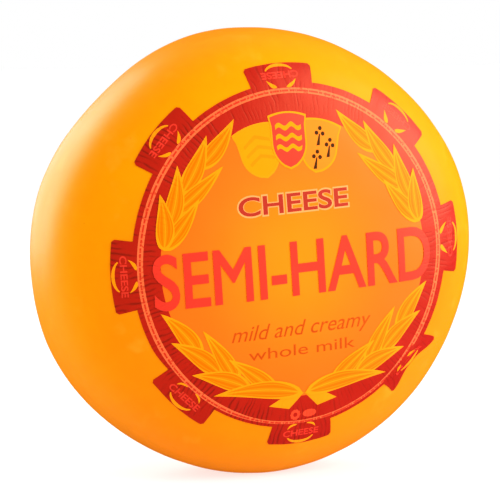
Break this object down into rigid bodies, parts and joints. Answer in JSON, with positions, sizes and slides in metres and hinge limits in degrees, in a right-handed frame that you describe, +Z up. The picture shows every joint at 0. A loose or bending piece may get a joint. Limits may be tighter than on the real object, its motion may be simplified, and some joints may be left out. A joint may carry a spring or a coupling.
{
  "type": "cheese wheel",
  "caption": "Ball-shaped wheel of semi-hard cheese in a glossy orange coat, with a round tabbed paper label on one face, standing on its rim.",
  "frame": {"origin": "on the ground under the middle of the wheel, which stands on the flat spot of its rim", "axes": "+Z up, -Y out of the labelled face along the wheel's axis, +X to the right as the label is read"},
  "size_m": [0.2664, 0.1286, 0.2556],
  "materials": {
    "coat": "satin coloured cheese coat",
    "label_paper": "satin printed paper"
  },
  "bodies": {
    "root": {"cheese_wheel": "coat", "label": "label_paper"}
  },
  "joints": []
}
